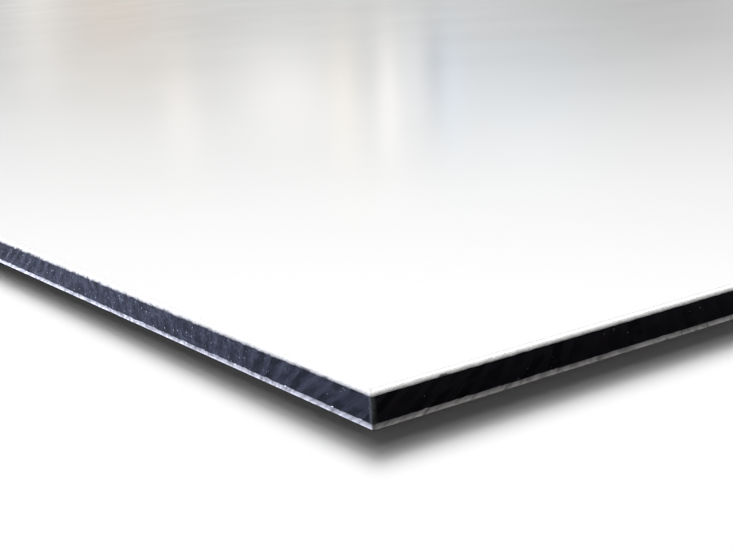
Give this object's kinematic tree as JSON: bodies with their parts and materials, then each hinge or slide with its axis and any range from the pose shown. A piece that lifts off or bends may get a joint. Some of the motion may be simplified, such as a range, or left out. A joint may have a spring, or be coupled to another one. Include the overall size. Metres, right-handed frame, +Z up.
{
  "type": "aluminium composite panel",
  "caption": "Flat sandwich panel for cladding and signs: a thin white gloss coated aluminium skin and a bare aluminium skin bonded to a black plastic core, with sawn edges.",
  "frame": {"origin": "centre of the underside, on the surface that the panel lies on", "axes": "+X along the length, +Y along the width, +Z up through the thickness, out of the coated face"},
  "size_m": [0.6, 0.4, 0.003],
  "materials": {
    "white_coating": "gloss",
    "black_polyethylene": "satin",
    "mill_aluminium": "satin"
  },
  "bodies": {
    "root": {"front_skin": "white_coating", "core": "black_polyethylene", "back_skin": "mill_aluminium"}
  },
  "joints": []
}
